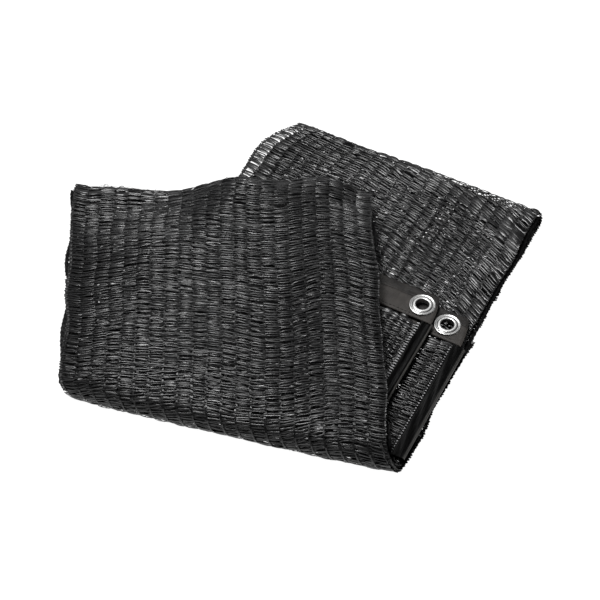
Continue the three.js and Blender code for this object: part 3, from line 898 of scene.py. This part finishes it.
class Shader:
    """A material being put together from nodes."""

    def __init__(self, name):
        self.material = bpy.data.materials.new(name)
        self.material.use_nodes = True
        self.nodes, self.links = self.material.node_tree.nodes, self.material.node_tree.links
        self.principled = self.nodes["Principled BSDF"]

    def strand_place(self):
        """The place on a strand as one output, and as its parts: along, across and tone."""
        attribute = self.nodes.new("ShaderNodeAttribute")
        attribute.attribute_name = "strand"
        split = self.nodes.new("ShaderNodeSeparateXYZ")
        self.links.new(attribute.outputs["Vector"], split.inputs["Vector"])
        return attribute.outputs["Vector"], split.outputs

    def strand(self, stretch):
        """The place on a strand, stretched so that noise runs lengthwise, and the strand's own tone."""
        place, parts = self.strand_place()
        mapping = self.nodes.new("ShaderNodeMapping")
        mapping.inputs["Scale"].default_value = stretch
        self.links.new(place, mapping.inputs["Vector"])
        return mapping.outputs["Vector"], parts["Z"]

    def noise(self, vector, scale, detail=3.0):
        """Soft noise over a vector."""
        noise = self.nodes.new("ShaderNodeTexNoise")
        noise.inputs["Scale"].default_value = scale
        noise.inputs["Detail"].default_value = detail
        self.links.new(vector, noise.inputs["Vector"])
        return noise.outputs["Fac"]

    def colour(self, value, low, high, colours):
        """The base colour, from dark where value is low to light where it is high."""
        ramp = self.nodes.new("ShaderNodeValToRGB")
        for stop, place, colour in zip(ramp.color_ramp.elements, (low, high), colours):
            stop.position = place
            stop.color = (*colour, 1)
        self.links.new(value, ramp.inputs["Fac"])
        self.links.new(ramp.outputs["Color"], self.principled.inputs["Base Color"])

    def roughness(self, value, low, high):
        """The roughness: low where value is 0, and high where it is 1."""
        spread = self.nodes.new("ShaderNodeMapRange")
        spread.inputs["To Min"].default_value = low
        spread.inputs["To Max"].default_value = high
        self.links.new(value, spread.inputs["Value"])
        self.links.new(spread.outputs["Result"], self.principled.inputs["Roughness"])

    def across(self, low, high):
        """0 on one side of a strip and 1 on the other, by the place across it."""
        parts = self.strand_place()[1]
        edge = self.nodes.new("ShaderNodeMapRange")
        edge.inputs["From Min"].default_value = low
        edge.inputs["From Max"].default_value = high
        self.links.new(parts["Y"], edge.inputs["Value"])
        return edge.outputs["Result"]

    def bump(self, height, strength, distance):
        """Fine relief, up to a distance in metres."""
        bump = self.nodes.new("ShaderNodeBump")
        bump.inputs["Strength"].default_value = strength
        bump.inputs["Distance"].default_value = distance
        self.links.new(height, bump.inputs["Height"])
        self.links.new(bump.outputs["Normal"], self.principled.inputs["Normal"])

    def mixed(self, first, second, share):
        """Two values mixed, with a share of the second."""
        mix = self.nodes.new("ShaderNodeMix")
        mix.data_type = "FLOAT"
        mix.inputs["Factor"].default_value = share
        self.links.new(first, mix.inputs["A"])
        self.links.new(second, mix.inputs["B"])
        return mix.outputs["Result"]


def net_material():
    """Black drawn tape: each piece a little lighter or darker, with fine lengthwise streaks."""
    shader = Shader("black_tape_knit")
    place, tone = shader.strand((0.5, 1, 1))
    crinkles = shader.noise(place, 1.1, 4)
    clouds = shader.noise(place, 0.3)
    mix = shader.mixed(tone, clouds, 0.3)
    shader.colour(mix, 0.2, 0.9, NET_COLOURS)
    shader.roughness(shader.mixed(tone, crinkles, 0.5), 0.5, 0.15)
    shader.bump(crinkles, 0.5, 0.0001)
    return shader.material


def tape_material():
    """Brownish black woven tape: a fine weave over soft clouds of wear, with painted shade along its free
    end.
    """
    shader = Shader("edge_tape")
    shader.principled.inputs["Specular IOR Level"].default_value = TAPE_SPECULAR
    place, _ = shader.strand((1, 1, 1))
    cloud = shader.noise(place, 0.16, 5)
    weave = shader.noise(place, 2.4, 2)
    # Within 7.5 to 11 mm of the free end the colour shades darker: painted shade.
    tone_and_painted_light = shader.mixed(shader.mixed(cloud, weave, 0.3), shader.across(7.5, 11.0), 0.25)
    shader.colour(tone_and_painted_light, 0.3, 0.75, TAPE_COLOURS)
    shader.roughness(cloud, 0.42, 0.66)
    shader.bump(shader.mixed(weave, cloud, 0.4), 0.5, 0.0008)
    return shader.material


def side_tape_material():
    """The side tape is blacker and smoother, with long soft streaks and a painted highlight along its outer
    edge.
    """
    shader = Shader("side_tape")
    shader.principled.inputs["Specular IOR Level"].default_value = SIDE_TAPE_SPECULAR
    place, _ = shader.strand((0.12, 1, 1))
    streaks = shader.noise(place, 1.1, 4)
    # Past 8.2 mm across, the outer edge is painted lighter: a painted highlight.
    tone_and_painted_light = shader.mixed(streaks, shader.across(8.2, 9.0), 0.6)
    shader.colour(tone_and_painted_light, 0.25, 0.8, SIDE_TAPE_COLOURS)
    shader.roughness(streaks, 0.3, 0.55)
    shader.bump(streaks, 0.5, 0.0007)
    return shader.material


def painted_glint_thread_material():
    """Glossy sewing thread, painted light grey: a painted highlight for the glints along the seam."""
    shader = Shader("seam_thread_painted_glints")
    place, _ = shader.strand((1, 3, 1))
    twist = shader.noise(place, 1.2)
    shader.colour(twist, 0.2, 0.8, THREAD_GLINT_COLOURS)
    shader.roughness(twist, 0.22, 0.4)
    shader.bump(twist, 0.5, 0.0003)
    return shader.material


def eyelet_material():
    """Bright plated steel with faint turning marks."""
    shader = Shader("bright_metal")
    shader.principled.inputs["Metallic"].default_value = 1
    place, _ = shader.strand((0.15, 3, 1))
    marks = shader.noise(place, 1.5)
    shader.colour(marks, 0.2, 0.8, EYELET_COLOURS)
    shader.roughness(marks, 0.24, 0.4)
    shader.bump(marks, 0.12, 0.0002)
    return shader.material


def floor_material():
    """A plain pale floor with a glow of its own, so that it looks white."""
    shader = Shader("pale_floor")
    sockets = shader.principled.inputs
    sockets["Base Color"].default_value = (FLOOR_GREY, FLOOR_GREY, FLOOR_GREY, 1)
    sockets["Roughness"].default_value = FLOOR_ROUGHNESS
    sockets["Emission Color"].default_value = (1, 1, 1, 1)
    sockets["Emission Strength"].default_value = FLOOR_GLOW
    return shader.material


def place_camera():
    """The camera looks down at the middle of the part from the front."""
    camera = bpy.data.objects.new("camera", bpy.data.cameras.new("camera"))
    bpy.context.scene.collection.objects.link(camera)
    camera.data.sensor_width = SENSOR_WIDTH
    camera.data.lens = FOCAL_LENGTH
    target = Vector(PART_SHIFT) * MM
    camera.location = target + Vector(CAMERA_OFFSET)
    camera.rotation_euler = (target - camera.location).to_track_quat("-Z", "Y").to_euler()
    bpy.context.scene.camera = camera


def area_light(light):
    """One soft light."""
    lamp = bpy.data.objects.new(light.name, bpy.data.lights.new(light.name, "AREA"))
    bpy.context.scene.collection.objects.link(lamp)
    lamp.data.size = light.size
    lamp.data.energy = light.power
    lamp.location = light.place
    lamp.rotation_euler = (Vector(light.aim) - lamp.location).to_track_quat("-Z", "Y").to_euler()


def light_sky():
    """A dim sky that grows brighter towards its axis."""
    world = bpy.data.worlds.new("studio")
    world.use_nodes = True
    bpy.context.scene.world = world
    nodes, links = world.node_tree.nodes, world.node_tree.links
    direction = nodes.new("ShaderNodeTexCoord")
    lean = nodes.new("ShaderNodeVectorMath")
    lean.operation = "DOT_PRODUCT"
    lean.inputs[1].default_value = SKY_AXIS
    sky = nodes.new("ShaderNodeValToRGB")
    for place, bright in SKY:
        stop = sky.color_ramp.elements.new(place)
        stop.color = (bright, bright, bright * SKY_BLUE, 1)
    links.new(direction.outputs["Generated"], lean.inputs[0])
    links.new(lean.outputs["Value"], sky.inputs["Fac"])
    links.new(sky.outputs["Color"], nodes["Background"].inputs["Color"])
    nodes["Background"].inputs["Strength"].default_value = WORLD_STRENGTH


def light_scene():
    """The sky, the lights and the floor."""
    light_sky()
    for light in LIGHTS:
        area_light(light)
    bpy.ops.mesh.primitive_grid_add(x_subdivisions=4, y_subdivisions=4, size=FLOOR_SIZE)
    floor = bpy.context.object
    floor.name = "floor"
    floor.data.materials.append(floor_material())
    bpy.context.scene.view_settings.view_transform = "Standard"


def nowhere(points):
    """No point is shown."""
    return np.zeros(len(points), bool)


def above_floor(points):
    """Whether points lie high enough to be seen."""
    return points[:, 2] > SEEN_HEIGHT


def beside_front(points):
    """Whether points lie outside what the front stack hides."""
    place = points[:, :2]
    near_right, far_right = np.array(FRONT.near_right), np.array(FRONT.far_right)
    under_right = cross2(place - near_right, unit(far_right - near_right)) < -HIDDEN_DEPTH
    under_far = (place - np.array(FRONT.far_left)) @ far_direction(FRONT) < -HIDDEN_DEPTH
    return ~(under_right & under_far)


def beside_both(points):
    """Whether points lie outside what the front stack and the upper flap hide."""
    place = points[:, :2]
    inside = cross2(place - flap_corner(UPPER_FLAP), BACK_EDGE) < -HIDDEN_DEPTH
    return beside_front(points) & ~((beyond_end(UPPER_FLAP, place) < -HIDDEN_DEPTH) & inside)


def build_net():
    """The net in seven strips, from one free end of the sheet to the other."""
    rows, marks = sheet_rows()
    middle, apex, end = marks["middle"], marks["apex"], marks["end"]
    whole = [
        ("net_upper_end", Lattice(rows, 0, middle[1], 0, even_ends=True), 1, beside_front, {}),
        ("net_inner_front", Lattice(rows, middle[1], middle[3], apex[1]), 1, nowhere, {}),
        ("net_inner_back", Lattice(rows, middle[3], middle[5], apex[3]), 1, nowhere, {"dense_edges": True}),
        ("net_front", Lattice(rows, middle[5], middle[7], apex[5]), 1, above_floor,
         {"creases": FRONT_CREASES, "frays": FRONT_FRAYS}),
        ("net_back", Lattice(rows, middle[7], middle[9], apex[7]), 1, beside_front,
         {"creases": BACK_CREASES, "row_bend": BACK_ROW_BEND, "dense_edges": True}),
        ("net_inner_turn", Lattice(rows, middle[9], middle[10], apex[9]), 1, nowhere, {}),
        ("net_lower_end", Lattice(rows, middle[10], end, end, even_ends=True), -1, beside_both, {}),
    ]
    pieces = {}
    for seed, (name, lattice, side, fine, looks) in enumerate(whole, start=11):
        piece = knit_strip(name, lattice, side, seed, fine, **looks)
        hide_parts("net")
        length = float((lattice.ends - lattice.starts).mean()) * MM
        pieces[name] = (piece, (STRIP_WIDTH * MM, length))
    return pieces


def build():
    """All pieces: the net, and each flap's end tape, eyelet, side tape and seam, with the solids they stand
    in for hidden.
    """
    net = build_net()
    for flap, section, stitch in (
        (UPPER_FLAP, UPPER_SIDE_SECTION, UPPER_SIDE_STITCH),
        (LOWER_FLAP, LOWER_SIDE_SECTION, LOWER_SIDE_STITCH),
    ):
        hem, ring = end_tape(flap), eyelet(flap)
        side, thread = side_tape(flap, section, stitch)
        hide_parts(f"{flap.name}_end_tape")
        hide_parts(f"{flap.name}_side_tape")
        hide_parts(f"{flap.name}_side_tape")
        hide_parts(f"{flap.name}_eyelet")


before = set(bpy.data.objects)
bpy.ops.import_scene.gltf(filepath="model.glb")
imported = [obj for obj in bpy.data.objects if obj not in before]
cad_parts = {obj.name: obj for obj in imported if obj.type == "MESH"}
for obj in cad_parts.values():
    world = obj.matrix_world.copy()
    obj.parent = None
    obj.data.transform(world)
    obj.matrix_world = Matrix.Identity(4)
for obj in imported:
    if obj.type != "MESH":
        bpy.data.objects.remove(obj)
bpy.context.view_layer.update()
MATERIALS = {
    "net": net_material(),
    "tape": tape_material(),
    "side_tape": side_tape_material(),
    "thread": painted_glint_thread_material(),
    "eyelet": eyelet_material(),
}
place_camera()
light_scene()
build()
